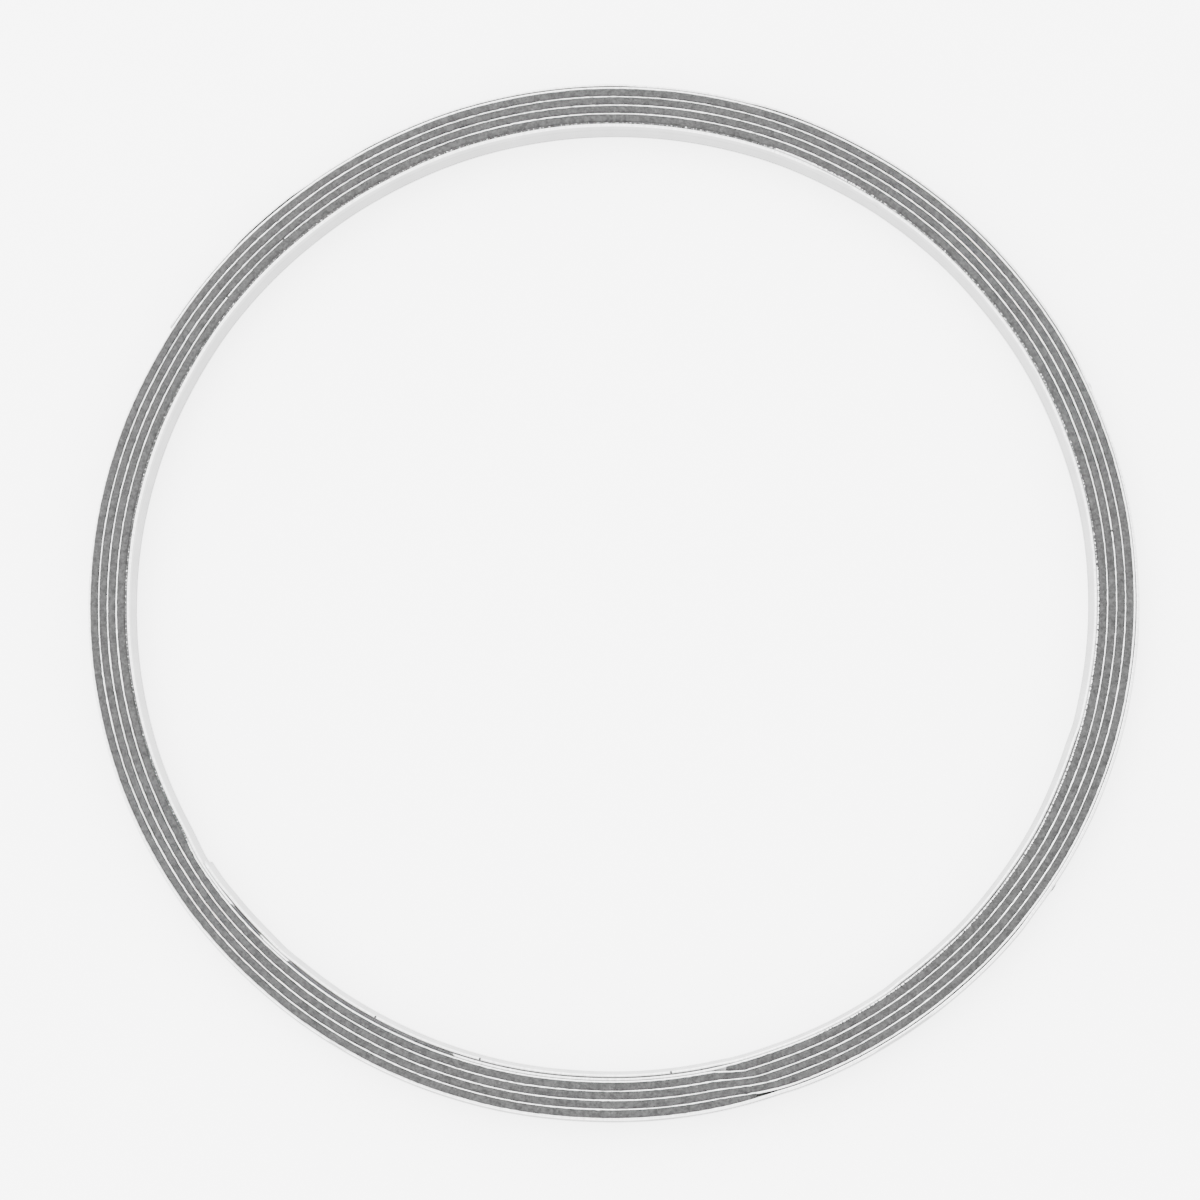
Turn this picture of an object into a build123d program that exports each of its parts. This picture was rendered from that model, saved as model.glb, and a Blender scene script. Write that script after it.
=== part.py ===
"""Spiral wound gasket: a V-folded steel strip wound up with a graphite filler.

Units are millimetres and degrees. The origin lies on the ring's axis, on the
surface the gasket rests on, with +Z up through the ring. Angles are measured
counterclockwise from +X, seen from above, and the winding grows outward in
that direction.
"""
import os
from math import cos, radians, sin

from build123d import *

# The metal strip
bore_diameter = 95.5      # across the innermost turn, at its two edges
strip_thickness = 0.22
fold_depth = 0.45         # how far the V fold stands out at half height
ply_gap = 0.04            # air between two metal turns that lie on each other
strip_start = 213.5       # angle of the free end in the bore
strip_wound = 2455.0      # angle the strip is wound through, just under 7 turns

# The graphite filler
filler_thickness = 0.64
filler_gap = 0.01         # clearance between the filler and the metal
filler_proud = 0.1        # filler above the metal, on each face
filler_start = 430.0      # winding angle at which the filler is laid on the strip
filler_layers = 4
filler_tail = 2.5         # angle by which the filler outruns its whole layers

# The whole ring
gasket_height = 4.5       # over the filler
oval = 0.29               # how far the ring is out of round, as a radius
oval_angle = 9.7          # direction of its longest diameter

# How the turns climb over what lies under them
ply_climb = 5.0           # angle taken to climb over the strip's own free end
filler_climb = 5.0        # angle taken by the first turn over the filler's start
climb_growth = 1.5        # how much longer each further turn takes
climb_lead = 2.5          # how far ahead of the filler's start the climb begins

# Spot welds between the bare turns
weld_diameter = 0.8
weld_spacing = 57.3
bore_weld_runs = (14.4, 202.5)  # winding angle at which each run in the bore begins
bore_weld_count = 3       # welds in each of those runs
outer_weld_last = 10.5    # angle from the strip's outer end back to the last weld
outer_weld_count = 4

# How closely the turns are drawn
fine_spacing = 1.25       # angle between points where a turn climbs
coarse_steps = 6          # as many times that spacing elsewhere

full_turn = 360.0
half_turn = 180.0
strip_pitch = strip_thickness + ply_gap
filler_pitch = filler_thickness + 2 * filler_gap - ply_gap
strip_turns = int(strip_wound // full_turn)


def climb(wound, first, last):
    """Smooth rise from 0 to 1 between two winding angles."""
    share = min(max((wound - first) / (last - first), 0.0), 1.0)
    return share * share * (3.0 - 2.0 * share)


def strip_inside(wound):
    """Radius of the strip's inner face, at its edges, at a winding angle."""
    radius = bore_diameter / 2
    for turn in range(1, strip_turns + 1):
        radius += strip_pitch * climb(wound, turn * full_turn - ply_climb, turn * full_turn)
    for layer in range(filler_layers):
        first = filler_start + (layer + 1) * full_turn - climb_lead
        last = first + filler_climb + layer * climb_growth
        radius += filler_pitch * climb(wound, first, last)
    return radius + oval * cos(radians(2 * (strip_start + wound - oval_angle)))


def strip_outside(wound):
    return strip_inside(wound) + strip_thickness


def filler_inside(wound):
    return strip_outside(wound) + filler_gap


def filler_outside(wound):
    return strip_inside(wound + full_turn) - filler_gap


def fold(height):
    """How far the V stands out at a height above the rest surface."""
    half_height = gasket_height / 2
    return fold_depth * (1.0 - abs(height - half_height) / half_height)


def place(radius, wound, height):
    angle = radians(strip_start + wound)
    return Vector(radius * cos(angle), radius * sin(angle), height)


def finely_drawn(wound):
    """Whether a turn is at a joint between stretches, or climbs over the filler's ends."""
    near_joint = abs((wound + half_turn / 2) % half_turn - half_turn / 2) < 2 * ply_climb
    angle = wound % full_turn
    first = filler_start % full_turn - climb_lead
    last = first + filler_climb + filler_layers * climb_growth
    return near_joint or first - ply_climb < angle < last + ply_climb


def drawn_angles(first, last):
    """Winding angles that a stretch is drawn through, the same in every turn."""
    angles = [first]
    for step in range(int(last // fine_spacing) + 1):
        wound = step * fine_spacing
        within = first + fine_spacing / 2 < wound < last - fine_spacing / 2
        if within and (step % coarse_steps == 0 or finely_drawn(wound)):
            angles.append(wound)
    return angles + [last]


def spiral(radius, first, last, height):
    """Curves along one face of a wound band, at one height, each up to half a turn long."""
    stretches = []
    start = first
    while start < last:
        stop = min((int(start // half_turn) + 1) * half_turn, last)
        angles = drawn_angles(start, stop)
        points = [place(radius(wound) + fold(height), wound, height) for wound in angles]
        stretches.append(Spline(*points).edge())
        start = stop
    return stretches


def outline(inside, outside, first, last, height):
    """Edges, in order, of the outline where a level plane cuts a wound band."""
    inner = spiral(inside, first, last, height)
    outer = spiral(outside, first, last, height)
    first_end = Line(outer[0] @ 0, inner[0] @ 0).edge()
    last_end = Line(inner[-1] @ 1, outer[-1] @ 1).edge()
    return inner + [last_end] + outer[::-1] + [first_end]


def wound_band(inside, outside, first, last, bottom, top):
    """Solid band between two spiral faces, folded outward at half height."""
    heights = [bottom, gasket_height / 2, top]
    outlines = [outline(inside, outside, first, last, height) for height in heights]
    faces = [Face(Wire(outlines[0])), Face(Wire(outlines[-1]))]
    for lower, upper in zip(outlines, outlines[1:]):
        faces += [Face.make_surface_from_curves(low, high) for low, high in zip(lower, upper)]
    return Solid(Shell(faces))


def spot_weld(wound):
    """Nugget of metal that joins the turn at a winding angle to the next one."""
    depth = strip_inside(wound) + fold_depth + strip_thickness / 2
    outward = place(1.0, wound, 0.0)
    centre = place(depth, wound, gasket_height / 2)
    foot = Plane(origin=centre, z_dir=outward)
    length = strip_inside(wound + full_turn) - strip_inside(wound)
    return extrude(foot * Circle(weld_diameter / 2), amount=length)


def winding_strip():
    top = gasket_height - filler_proud
    strip = wound_band(strip_inside, strip_outside, 0.0, strip_wound, filler_proud, top)
    welds = [run + n * weld_spacing for run in bore_weld_runs for n in range(bore_weld_count)]
    last_weld = strip_wound - full_turn - outer_weld_last
    welds += [last_weld - n * weld_spacing for n in range(outer_weld_count)]
    for wound in welds:
        strip += spot_weld(wound)
    return strip


def graphite_filler():
    last = filler_start + filler_layers * full_turn + filler_tail
    return wound_band(filler_inside, filler_outside, filler_start, last, 0.0, gasket_height)


os.makedirs("parts", exist_ok=True)
export_step(winding_strip(), "parts/winding_strip.step")
export_step(graphite_filler(), "parts/graphite_filler.step")
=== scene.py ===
"""Dresses the spiral wound gasket: the bright V-folded strip and its graphite filler.

Sizes are in metres unless a name says mm; angles are in degrees, counterclockwise
from +X seen from above. A winding angle counts from the strip's free end in the bore.
"""
from functools import lru_cache
from math import cos, hypot, pi, radians, sin, sqrt

import bmesh
import bpy
from mathutils import Matrix, Vector, noise


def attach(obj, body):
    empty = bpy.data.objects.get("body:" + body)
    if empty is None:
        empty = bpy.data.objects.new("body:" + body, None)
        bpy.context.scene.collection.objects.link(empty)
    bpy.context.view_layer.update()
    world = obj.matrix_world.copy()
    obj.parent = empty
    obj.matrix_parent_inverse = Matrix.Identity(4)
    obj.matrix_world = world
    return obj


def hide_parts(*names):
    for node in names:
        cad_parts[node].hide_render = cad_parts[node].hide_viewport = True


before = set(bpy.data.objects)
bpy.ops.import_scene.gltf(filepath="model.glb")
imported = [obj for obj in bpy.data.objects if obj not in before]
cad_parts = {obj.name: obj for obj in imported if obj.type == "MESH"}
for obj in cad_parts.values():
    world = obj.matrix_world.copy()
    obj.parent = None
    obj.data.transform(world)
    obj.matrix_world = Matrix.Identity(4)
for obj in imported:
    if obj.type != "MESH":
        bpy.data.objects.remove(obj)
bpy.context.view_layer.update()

MM = 0.001
FULL_TURN = 360.0

# The winding, as the solids are wound, in millimetres
BORE_DIAMETER = 95.5
STRIP_THICKNESS = 0.22
PLY_GAP = 0.04
STRIP_START = 213.5
STRIP_WOUND = 2455.0
STRIP_BOTTOM = 0.1
STRIP_TOP = 4.4
FILLER_THICKNESS = 0.64
FILLER_GAP = 0.01
FILLER_START = 430.0
FILLER_LAYERS = 4
FILLER_TAIL = 2.5
GASKET_HEIGHT = 4.5
OVAL = 0.29
OVAL_ANGLE = 9.7
LOBES = 0.08
LOBES_ANGLE = -33.3
PLY_CLIMB = 5.0
CLIMB_EASE = 8.0
FILLER_CLIMB = 5.0
CLIMB_GROWTH = 1.5
CLIMB_LEAD = 2.5
STRIP_PITCH = STRIP_THICKNESS + PLY_GAP
FILLER_PITCH = FILLER_THICKNESS + 2 * FILLER_GAP - PLY_GAP

# The fold is shallow in the bore and deepens outward
BORE_FOLD = 0.18
OUTER_FOLD = 0.45
FOLD_ROUNDING = 0.16

# Spot welds, as winding angles of the ply nearer the bore
BORE_WELDS = (14.4, 71.7, 129.0, 202.5, 259.8, 317.1)
OUTER_WELDS = (1912.6, 1969.9, 2027.2, 2084.5)

# Stretches where two bare plies stand apart: first and last winding angle, opening
BORE_OPENINGS = ((4.0, 12.5, 0.07), (15.5, 70.0, 0.09), (92.0, 129.5, 0.12))
OUTER_OPENINGS = (
    (2236.0, 2268.0, 0.07), (2280.0, 2308.0, 0.03), (2332.0, 2380.0, 0.07),
    (2394.0, 2426.0, 0.06), (2434.0, 2443.5, 0.12),
)
OPENING_RAMP = 1.2

# Small waves that every turn has at the same place around the ring
WAVE_HEIGHT = 0.05
WAVE_SPREAD = 6.0
WAVE_SEED = 2.0

# How finely the bands are drawn
STRIP_STEP = 1.0
FILLER_STEP = 0.5
STRETCH_STEPS = 240
JOINT_MERGE = 5e-6


def rise(value, first, last):
    """Smooth rise from 0 to 1 between two values."""
    share = min(max((value - first) / (last - first), 0.0), 1.0)
    return share * share * (3.0 - 2.0 * share)


def stretch(value, first, last, ramp):
    """1 between two values, falling smoothly to 0 outside them."""
    return rise(value, first - ramp, first + ramp) * (1.0 - rise(value, last - ramp, last + ramp))


def out_of_round(angle):
    oval = OVAL * cos(radians(2 * (angle - OVAL_ANGLE)))
    return oval + LOBES * cos(radians(3 * (angle - LOBES_ANGLE)))


@lru_cache(maxsize=None)
def laid_radius(wound):
    """Radius in millimetres of the strip's inner face where its turns lie tight."""
    radius = BORE_DIAMETER / 2
    for turn in range(1, int(STRIP_WOUND // FULL_TURN) + 1):
        ease = CLIMB_EASE * max(turn - 2, 0)
        top = turn * FULL_TURN
        radius += STRIP_PITCH * rise(wound, top - PLY_CLIMB - ease, top + ease)
    for layer in range(FILLER_LAYERS):
        first = FILLER_START + (layer + 1) * FULL_TURN - CLIMB_LEAD
        radius += FILLER_PITCH * rise(wound, first, first + FILLER_CLIMB + layer * CLIMB_GROWTH)
    return radius + out_of_round(STRIP_START + wound)


def length_along(wound):
    """Rough length of strip, in millimetres, from its free end to a winding angle."""
    return wound * laid_radius(wound) * pi / 180.0


def hand_wound(wound, seed, size, length):
    """Small uneven shift along the winding, in millimetres."""
    return size * noise.noise(Vector((length_along(wound) / length, seed, 0.5)))


@lru_cache(maxsize=None)
def strip_radius(wound):
    """Radius of the strip's inner face, with its loose stretches and small waves."""
    radius = laid_radius(wound)
    for first, last, opening in BORE_OPENINGS:
        radius -= opening * stretch(wound, first, last, OPENING_RAMP)
    for first, last, opening in OUTER_OPENINGS:
        radius += opening * stretch(wound, first, last, OPENING_RAMP)
    angle = radians(wound % FULL_TURN)
    around = Vector((WAVE_SPREAD * cos(angle), WAVE_SPREAD * sin(angle), WAVE_SEED))
    return radius + WAVE_HEIGHT * noise.noise(around)


@lru_cache(maxsize=None)
def fold_depth(wound):
    return BORE_FOLD + (OUTER_FOLD - BORE_FOLD) * rise(wound, FULL_TURN, 5 * FULL_TURN)


@lru_cache(maxsize=None)
def fold_share(height):
    """How far out the V stands at a height in millimetres, from 0 at the faces to 1."""
    half = GASKET_HEIGHT / 2
    away = abs(height - half) / half
    rounded = sqrt(away * away + FOLD_ROUNDING * FOLD_ROUNDING) - FOLD_ROUNDING
    whole = sqrt(1.0 + FOLD_ROUNDING * FOLD_ROUNDING) - FOLD_ROUNDING
    return 1.0 - rounded / whole


def spun_section(section, angle, steps):
    """A closed section, given as (across, height) pairs in millimetres, spun about the axis."""
    bm = bmesh.new()
    base = BORE_DIAMETER / 2
    corners = [bm.verts.new(((base + across) * MM, 0.0, height * MM)) for across, height in section]
    loop = [bm.edges.new(pair) for pair in zip(corners, corners[1:] + corners[:1])]
    bmesh.ops.spin(bm, geom=corners + loop, cent=(0, 0, 0), axis=(0, 0, 1), dvec=(0, 0, 0),
                   angle=radians(angle), steps=steps, use_merge=False)
    return bm


def lay_on_spiral(bm, corners, wound_at, place_corner, marks):
    """Moves each spun corner to its radius and height, and keeps its marks with it."""
    layers = {mark: bm.verts.layers.float.new(mark) for mark in marks}
    for index, vertex in enumerate(bm.verts):
        wound = wound_at(index // corners)
        across = hypot(vertex.co.x, vertex.co.y) / MM - BORE_DIAMETER / 2
        radius, height = place_corner(wound, across, vertex.co.z / MM)
        angle = radians(STRIP_START + wound)
        vertex.co = Vector((radius * cos(angle), radius * sin(angle), height)) * MM
        for mark, value in marks.items():
            vertex[layers[mark]] = value(wound, across, height)


def wound_piece(section, first, last, step, place_corner, marks):
    """A band wound along the spiral, spun stretch by stretch and closed at both ends.

    place_corner gives the (radius, height) of a corner at a winding angle, in
    millimetres; marks are named values kept per vertex for the material.
    """
    band = bmesh.new()
    steps = round((last - first) / step)
    for start in range(0, steps, STRETCH_STEPS):
        count = min(STRETCH_STEPS, steps - start)
        bm = spun_section(section, (last - first) * count / steps, count)
        lay_on_spiral(bm, len(section), lambda n: first + (last - first) * (start + n) / steps,
                      place_corner, marks)
        mesh = bpy.data.meshes.new("stretch")
        bm.to_mesh(mesh)
        bm.free()
        band.from_mesh(mesh)
        bpy.data.meshes.remove(mesh)
    bmesh.ops.remove_doubles(band, verts=band.verts, dist=JOINT_MERGE)
    open_ends = [edge for edge in band.edges if edge.is_boundary]
    ends = bmesh.ops.edgeloop_fill(band, edges=open_ends)["faces"]
    bmesh.ops.triangulate(band, faces=ends)
    bmesh.ops.recalc_face_normals(band, faces=band.faces)
    return band


def finished(name, bm, material, smooth=True):
    mesh = bpy.data.meshes.new(name)
    bm.to_mesh(mesh)
    bm.free()
    piece = bpy.data.objects.new(name, mesh)
    bpy.context.scene.collection.objects.link(piece)
    mesh.materials.append(material)
    for face in mesh.polygons:
        face.use_smooth = smooth
    return piece


# ---------------------------------------------------------------- node helpers

class Finish:
    """A material's nodes, added one by one and wired up as they are added."""

    def __init__(self, name):
        self.material = bpy.data.materials.new(name)
        self.material.use_nodes = True
        self.tree = self.material.node_tree
        self.shader = self.tree.nodes["Principled BSDF"]
        self.place = self.tree.nodes.new("ShaderNodeTexCoord").outputs["Object"]

    def put(self, socket, value):
        if hasattr(value, "is_linked"):
            self.tree.links.new(value, socket)
        else:
            socket.default_value = value

    def node(self, kind, settings=None, **inputs):
        new = self.tree.nodes.new(kind)
        for key, value in (settings or {}).items():
            setattr(new, key, value)
        for key, value in inputs.items():
            self.put(new.inputs[key.replace("_", " ")], value)
        return new

    def math(self, operation, first, second=0.0):
        new = self.tree.nodes.new("ShaderNodeMath")
        new.operation = operation
        for socket, value in zip(new.inputs, (first, second)):
            self.put(socket, value)
        return new.outputs[0]

    def between(self, value, low, high, out_low=0.0, out_high=1.0):
        new = self.node("ShaderNodeMapRange", {"clamp": True})
        for socket, number in zip(new.inputs, (value, low, high, out_low, out_high)):
            self.put(socket, number)
        return new.outputs[0]

    def mark(self, name):
        return self.node("ShaderNodeAttribute", {"attribute_name": name}).outputs["Fac"]

    def grain(self, where, scale, detail=2.0, roughness=0.6):
        new = self.node("ShaderNodeTexNoise", Vector=where, Scale=scale, Detail=detail,
                        Roughness=roughness)
        return new.outputs[0]

    def colour(self, share, first, second):
        new = self.node("ShaderNodeMix", {"data_type": "RGBA"})
        self.put(new.inputs[0], share)
        self.put(new.inputs[6], first)
        self.put(new.inputs[7], second)
        return new.outputs[2]

    def around(self, along, across):
        """A vector that runs along the winding, so that a pattern follows the strip."""
        return self.node("ShaderNodeCombineXYZ", X=along, Y=across).outputs[0]

    def bump(self, height, strength, distance):
        new = self.node("ShaderNodeBump", Height=height, Strength=strength, Distance=distance)
        return new.outputs[0]


def grey(level):
    return (level, level, level, 1.0)


# Tones, from black at 0 to white at 1
GRAPHITE_DARK = grey(0.008)
GRAPHITE_LIGHT = grey(0.05)
DUST = grey(0.12)
EDGE_DULL = grey(0.62)
EDGE_BRIGHT = grey(1.0)
WALL_DARK = grey(0.31)
WALL_LIGHT = grey(0.38)
# Painted shade: the strip's outer face is tinted darker than its inner face
OUTER_FACE_SHADE = grey(0.13)
SHADE = grey(0.02)

# Scales of the noise that is laid over a whole piece, per metre
CLOUD_SCALE = 1500.0
SPECK_SCALE = 3400.0
DUST_SCALE = 2600.0
SPREAD_SCALE = 5200.0

# How much each pattern counts where two are mixed
CLOUD_SHARE = 0.45
DUST_COVER = 0.35
TORN_SHARE = 0.7


def graphite_colour(finish):
    """Mottled dark grey with fine bright specks, and the pattern behind it."""
    cloud = finish.math("MULTIPLY", finish.grain(finish.place, CLOUD_SCALE, 3.0), CLOUD_SHARE)
    speck = finish.grain(finish.place, SPECK_SCALE, 2.0, 0.75)
    mixed = finish.math("ADD", cloud, finish.math("MULTIPLY", speck, 1.0 - CLOUD_SHARE))
    return finish.colour(finish.between(mixed, 0.38, 0.62), GRAPHITE_DARK, GRAPHITE_LIGHT), mixed


def graphite_finish():
    finish = Finish("flexible_graphite")
    colour, mixed = graphite_colour(finish)
    dust = finish.between(finish.grain(finish.place, DUST_SCALE, 2.0, 0.7), 0.62, 0.75)
    colour = finish.colour(finish.math("MULTIPLY", dust, DUST_COVER), colour, DUST)
    finish.put(finish.shader.inputs["Base Color"], colour)
    finish.put(finish.shader.inputs["Roughness"], finish.between(mixed, 0.3, 0.7, 0.5, 0.72))
    finish.put(finish.shader.inputs["Normal"], finish.bump(mixed, 0.6, 0.00004))
    finish.shader.inputs["Specular IOR Level"].default_value = 0.35
    return finish.material


def wall_colour(finish, along, height):
    """Folded wall: streaked lengthwise, with painted shade over its whole outer face and painted shade
    at the crease and foot.
    """
    stretched = finish.math("MULTIPLY", along, 0.05)
    streak = finish.grain(finish.around(stretched, finish.math("MULTIPLY", height, 9000.0)), 1.0, 3.0)
    wall = finish.colour(finish.between(streak, 0.3, 0.7), WALL_DARK, WALL_LIGHT)
    # Painted shade: the outer face takes a darker tint than the inner one
    wall = finish.colour(finish.mark("outer"), wall, OUTER_FACE_SHADE)
    from_crease = finish.math("ABSOLUTE", finish.math("SUBTRACT", height, GASKET_HEIGHT / 2 * MM))
    crease = finish.between(from_crease, 0.00003, 0.0003, 0.82, 1.0)
    foot = finish.between(height, 0.00012, 0.0005, 0.6, 1.0)
    return finish.colour(finish.math("MULTIPLY", crease, foot), SHADE, wall)


def graphite_cover(finish, along, height, edge):
    """How far smeared graphite hides the strip's edge, from 0 to 1."""
    torn = finish.grain(finish.around(along, height), 3.4, 3.0, 0.75)
    spread = finish.grain(finish.place, SPREAD_SCALE, 2.0, 0.7)
    torn = finish.math("ADD", finish.math("MULTIPLY", torn, TORN_SHARE),
                       finish.math("MULTIPLY", spread, 1.0 - TORN_SHARE))
    reach = finish.math("SUBTRACT", finish.mark("smear"), torn)
    return finish.math("MULTIPLY", finish.between(reach, -0.02, 0.03), edge)


def strip_finish():
    """Bright rolled strip: a sheared edge on top, and a smooth folded wall."""
    finish = Finish("rolled_stainless_strip")
    along = finish.mark("along")
    edge = finish.mark("edge")
    height = finish.node("ShaderNodeSeparateXYZ", Vector=finish.place).outputs["Z"]
    cut = finish.grain(finish.around(along, height), 2.6, 3.0, 0.7)
    edge_colour = finish.colour(finish.between(cut, 0.32, 0.62), EDGE_DULL, EDGE_BRIGHT)
    metal = finish.colour(edge, wall_colour(finish, along, height), edge_colour)
    covered = graphite_cover(finish, along, height, edge)
    graphite, _ = graphite_colour(finish)
    finish.put(finish.shader.inputs["Base Color"], finish.colour(covered, metal, graphite))
    finish.put(finish.shader.inputs["Metallic"], finish.math("SUBTRACT", 1.0, covered))
    tone = finish.grain(finish.around(finish.math("MULTIPLY", along, 0.12), height), 2.2)
    rough = finish.between(tone, 0.3, 0.7, 0.26, 0.42)
    rough = finish.math("MAXIMUM", rough, finish.math("MULTIPLY", covered, 0.65))
    finish.put(finish.shader.inputs["Roughness"], rough)
    finish.put(finish.shader.inputs["Normal"], finish.bump(cut, 0.35, 0.00002))
    return finish.material


# ---------------------------------------------------------------- the strip

EDGE_ROUNDING = 0.03
EDGE_ABOVE_MIDDLE = 2.06

# How much graphite is smeared over the strip's edges, as first and last winding
# angle and the share of the edge that it covers
SMEARS = (
    (365.5, 371.5, 0.80),
    (375.0, 398.0, 0.85),
    (440.0, 572.0, 0.52),
    (508.0, 566.0, 0.60),
    (575.0, 718.0, 0.62),
)
SMEAR_RAMP = 2.0
SMEAR_INSIDE = 0.85
SMEAR_ACROSS = 0.25
RUBBED = 0.30
RUBBED_IN_BORE = 0.18

# Spot weld marks
WELD_INSET = 0.012
WELD_HALF_SIZES = (0.05, 0.45, 0.45)


def smear_share(wound, across):
    """Share of an edge under graphite: more toward its outer side."""
    if wound < FULL_TURN:
        return RUBBED_IN_BORE
    side = SMEAR_INSIDE + SMEAR_ACROSS * across / STRIP_THICKNESS
    smeared = [cover * stretch(wound, first, last, SMEAR_RAMP) * side for first, last, cover in SMEARS]
    return max(smeared + [RUBBED])


def strip_section():
    """Outline of the strip's section: up its outer face and down its inner one."""
    span = STRIP_TOP - STRIP_BOTTOM
    rises = (0.014, 0.16, 0.32, 0.42, 0.47, 0.5, 0.53, 0.58, 0.68, 0.84, 0.986)
    heights = [STRIP_BOTTOM + span * share for share in rises]
    outer = [(STRIP_THICKNESS, height) for height in heights]
    inner = [(0.0, height) for height in reversed(heights)]
    top = [(STRIP_THICKNESS - EDGE_ROUNDING, STRIP_TOP), (EDGE_ROUNDING, STRIP_TOP)]
    bottom = [(EDGE_ROUNDING, STRIP_BOTTOM), (STRIP_THICKNESS - EDGE_ROUNDING, STRIP_BOTTOM)]
    return outer + top + inner + bottom


@lru_cache(maxsize=None)
def edge_lift(wound):
    """How far the strip's edges stand above or below their level."""
    long_waves = hand_wound(wound, seed=3.0, size=0.05, length=9.0)
    return long_waves + hand_wound(wound, seed=5.0, size=0.02, length=1.4)


def strip_corner(wound, across, height):
    radius = strip_radius(wound) + across + fold_depth(wound) * fold_share(height)
    lift = edge_lift(wound)
    share = (height - STRIP_BOTTOM) / (STRIP_TOP - STRIP_BOTTOM)
    return radius, height + lift * (2.0 * share - 1.0)


def add_bead(bm, angle, radius, height, half_sizes, subdivisions):
    """Rounded lump, with half sizes given outward, along the winding and upward."""
    turned = radians(angle)
    place = Vector((radius * cos(turned), radius * sin(turned), height)) * MM
    size = Matrix.Diagonal((*(half * MM for half in half_sizes), 1.0))
    matrix = Matrix.Translation(place) @ Matrix.Rotation(turned, 4, "Z") @ size
    bmesh.ops.create_icosphere(bm, subdivisions=subdivisions, radius=1.0, matrix=matrix)


def add_weld(bm, wound, radius):
    """Shallow round mark of a spot weld on the strip's wall."""
    add_bead(bm, STRIP_START + wound, radius, GASKET_HEIGHT / 2, WELD_HALF_SIZES, 3)


def winding_strip(material):
    marks = {
        "along": lambda wound, across, height: length_along(wound),
        "smear": lambda wound, across, height: smear_share(wound, across),
        "outer": lambda wound, across, height: across / STRIP_THICKNESS,
        "edge": lambda wound, across, height: float(height - GASKET_HEIGHT / 2 > EDGE_ABOVE_MIDDLE),
    }
    bm = wound_piece(strip_section(), 0.0, STRIP_WOUND, STRIP_STEP, strip_corner, marks)
    for wound in BORE_WELDS:
        add_weld(bm, wound, strip_radius(wound) + BORE_FOLD - WELD_INSET)
    for wound in OUTER_WELDS:
        outer = wound + FULL_TURN
        face = strip_radius(outer) + fold_depth(outer) + STRIP_THICKNESS
        add_weld(bm, outer, face + WELD_INSET)
    return finished("strip_turns", bm, material)


# ---------------------------------------------------------------- the filler

# Crumbs of graphite dragged over the metal, as (angle, winding turn of that ply)
CRUMBS = ((323.7, 3), (6.8, 3), (132.5, 2), (142.0, 2), (241.0, 0), (254.3, 0), (277.0, 0))
CRUMB_HALF_SIZES = (0.14, 0.12, 0.04)
CRUMB_LIFT = 0.02

# The filler's two faces: they take up the ends of its height, fall away at their
# sides and spill over the metal there
FACE_FROM = 0.9
FACE_CROWN = 0.05
FACE_SPILL = 0.05


def filler_section():
    """Outline of the filler's section, with corners spread across its flat top and bottom."""
    count = 6
    acrosses = [FILLER_THICKNESS * n / count for n in range(count + 1)]
    top = [(across, GASKET_HEIGHT) for across in reversed(acrosses)]
    bottom = [(across, 0.0) for across in acrosses]
    folds = (0.8, 1.6, 2.25, 2.9, 3.7)
    outer = [(FILLER_THICKNESS, height) for height in folds]
    inner = [(0.0, height) for height in reversed(folds)]
    return bottom + outer + top + inner


def unevenness(wound, across, pace, width, seed):
    return noise.noise(Vector((wound * pace, across * width, seed)))


def filler_corner(wound, across, height):
    fold_in = fold_depth(wound) * fold_share(height)
    fold_out = fold_depth(wound + FULL_TURN) * fold_share(height)
    inside = strip_radius(wound) + STRIP_THICKNESS + fold_in
    outside = strip_radius(wound + FULL_TURN) + fold_out
    share = across / FILLER_THICKNESS
    side = 2.0 * share - 1.0
    radius = inside + FILLER_GAP + (outside - inside - 2 * FILLER_GAP) * share
    from_middle = abs(height - GASKET_HEIGHT / 2) / (GASKET_HEIGHT / 2)
    face = max(0.0, from_middle - FACE_FROM) / (1.0 - FACE_FROM)
    spill = FACE_SPILL * face * side ** 3 * (1.0 + 1.6 * unevenness(wound, across, 1.7, 2.0, 7.0))
    rough = 0.035 * unevenness(wound, across, 1.3, 6.0, 1.0)
    rough += 0.02 * unevenness(wound, across, 0.25, 2.0, 4.0)
    fall = FACE_CROWN * side ** 4 + max(0.0, rough)
    toward = 1.0 if height > GASKET_HEIGHT / 2 else -1.0
    return radius + spill, height - toward * face * fall


def graphite_filler(material):
    last = FILLER_START + FILLER_LAYERS * FULL_TURN + FILLER_TAIL
    bm = wound_piece(filler_section(), FILLER_START, last, FILLER_STEP, filler_corner, {})
    for angle, turn in CRUMBS:
        wound = (angle - STRIP_START) % FULL_TURN + turn * FULL_TURN
        radius = strip_radius(wound) + STRIP_THICKNESS / 2
        add_bead(bm, angle, radius, STRIP_TOP + CRUMB_LIFT, CRUMB_HALF_SIZES, 2)
    return finished("filler_turns", bm, material)


# ---------------------------------------------------------------- floor, light, camera

CAMERA_AZIMUTH = 9.0
CAMERA_TILT = 6.19
CAMERA_DISTANCE = 0.262
CAMERA_FOCAL = 2636.5
CAMERA_CENTRE = (610.57, 592.08)
CAMERA_ROLL = -0.13
FRAME_SIDE = 1200.0
SENSOR_MM = 36.0

FLOOR_HALF_SIDE = 3.0
FLOOR_GLOW = 3.0
WORLD_GLOW = 4.2
LAMP_PLACE = (-0.35, 0.45, 0.9)
LAMP_SIDE = 0.9
LAMP_POWER = 14.0


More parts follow.
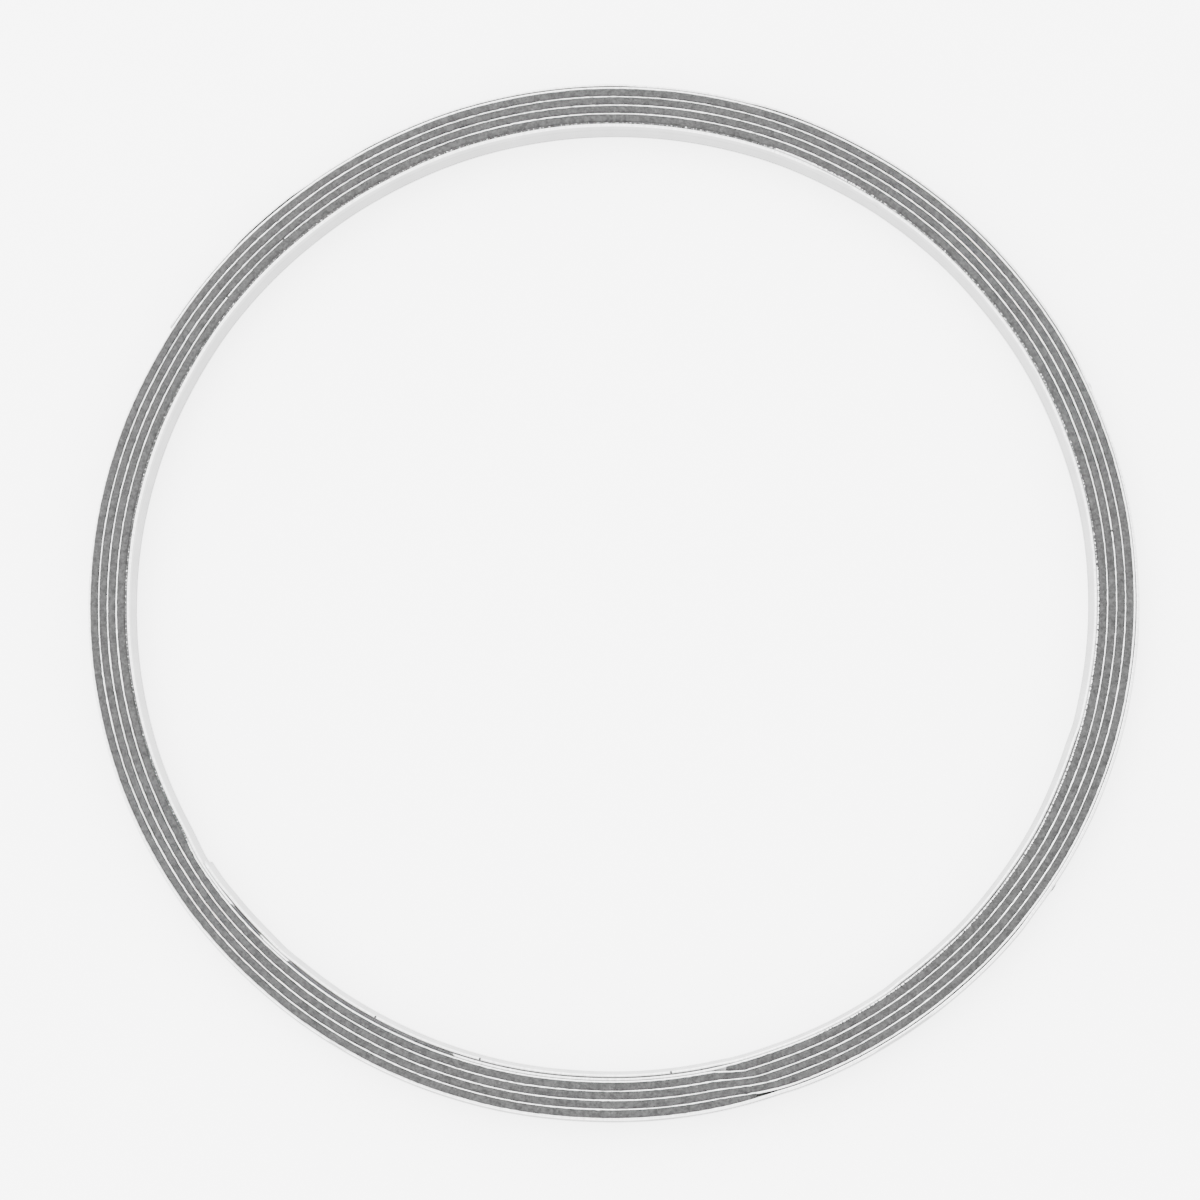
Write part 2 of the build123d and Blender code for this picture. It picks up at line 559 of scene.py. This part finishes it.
def floor():
    bm = bmesh.new()
    bmesh.ops.create_grid(bm, x_segments=1, y_segments=1, size=FLOOR_HALF_SIDE)
    finish = Finish("pale_floor")
    finish.shader.inputs["Base Color"].default_value = grey(0.92)
    finish.shader.inputs["Emission Color"].default_value = grey(1.0)
    finish.shader.inputs["Emission Strength"].default_value = FLOOR_GLOW
    finish.shader.inputs["Roughness"].default_value = 0.9
    finish.shader.inputs["Specular IOR Level"].default_value = 0.1
    piece = finished("floor", bm, finish.material, smooth=False)


def area_light(name, place, size, power):
    light = bpy.data.lights.new(name, "AREA")
    light.shape = "SQUARE"
    light.size = size
    light.energy = power
    lamp = bpy.data.objects.new(name, light)
    lamp.location = place
    lamp.rotation_euler = (-Vector(place)).to_track_quat("-Z", "Y").to_euler()
    bpy.context.scene.collection.objects.link(lamp)


def studio_light():
    world = bpy.data.worlds.new("studio")
    world.use_nodes = True
    background = world.node_tree.nodes["Background"]
    background.inputs["Color"].default_value = grey(1.0)
    background.inputs["Strength"].default_value = WORLD_GLOW
    bpy.context.scene.world = world
    area_light("top_left_light", LAMP_PLACE, LAMP_SIDE, LAMP_POWER)


def camera():
    tilt, azimuth, roll = radians(CAMERA_TILT), radians(CAMERA_AZIMUTH), radians(CAMERA_ROLL)
    back = Vector((sin(tilt) * sin(azimuth), -sin(tilt) * cos(azimuth), cos(tilt)))
    right = Vector((0, 1, 0)).cross(back).normalized()
    up = back.cross(right)
    right_rolled = right * cos(roll) + up * sin(roll)
    up_rolled = up * cos(roll) - right * sin(roll)
    place = Vector((0, 0, GASKET_HEIGHT * MM)) + back * CAMERA_DISTANCE
    lens = bpy.data.cameras.new("camera")
    lens.sensor_width = SENSOR_MM
    lens.lens = CAMERA_FOCAL * SENSOR_MM / FRAME_SIDE
    lens.shift_x = (FRAME_SIDE / 2 - CAMERA_CENTRE[0]) / FRAME_SIDE
    lens.shift_y = (CAMERA_CENTRE[1] - FRAME_SIDE / 2) / FRAME_SIDE
    lens.clip_start = 0.01
    eye = bpy.data.objects.new("camera", lens)
    turned = Matrix((right_rolled, up_rolled, back)).transposed().to_4x4()
    eye.matrix_world = Matrix.Translation(place) @ turned
    bpy.context.scene.collection.objects.link(eye)
    bpy.context.scene.camera = eye


strip = winding_strip(strip_finish())
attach(strip, "root")
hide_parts("winding_strip")

filler = graphite_filler(graphite_finish())
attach(filler, "root")
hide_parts("graphite_filler")

floor()
studio_light()
camera()
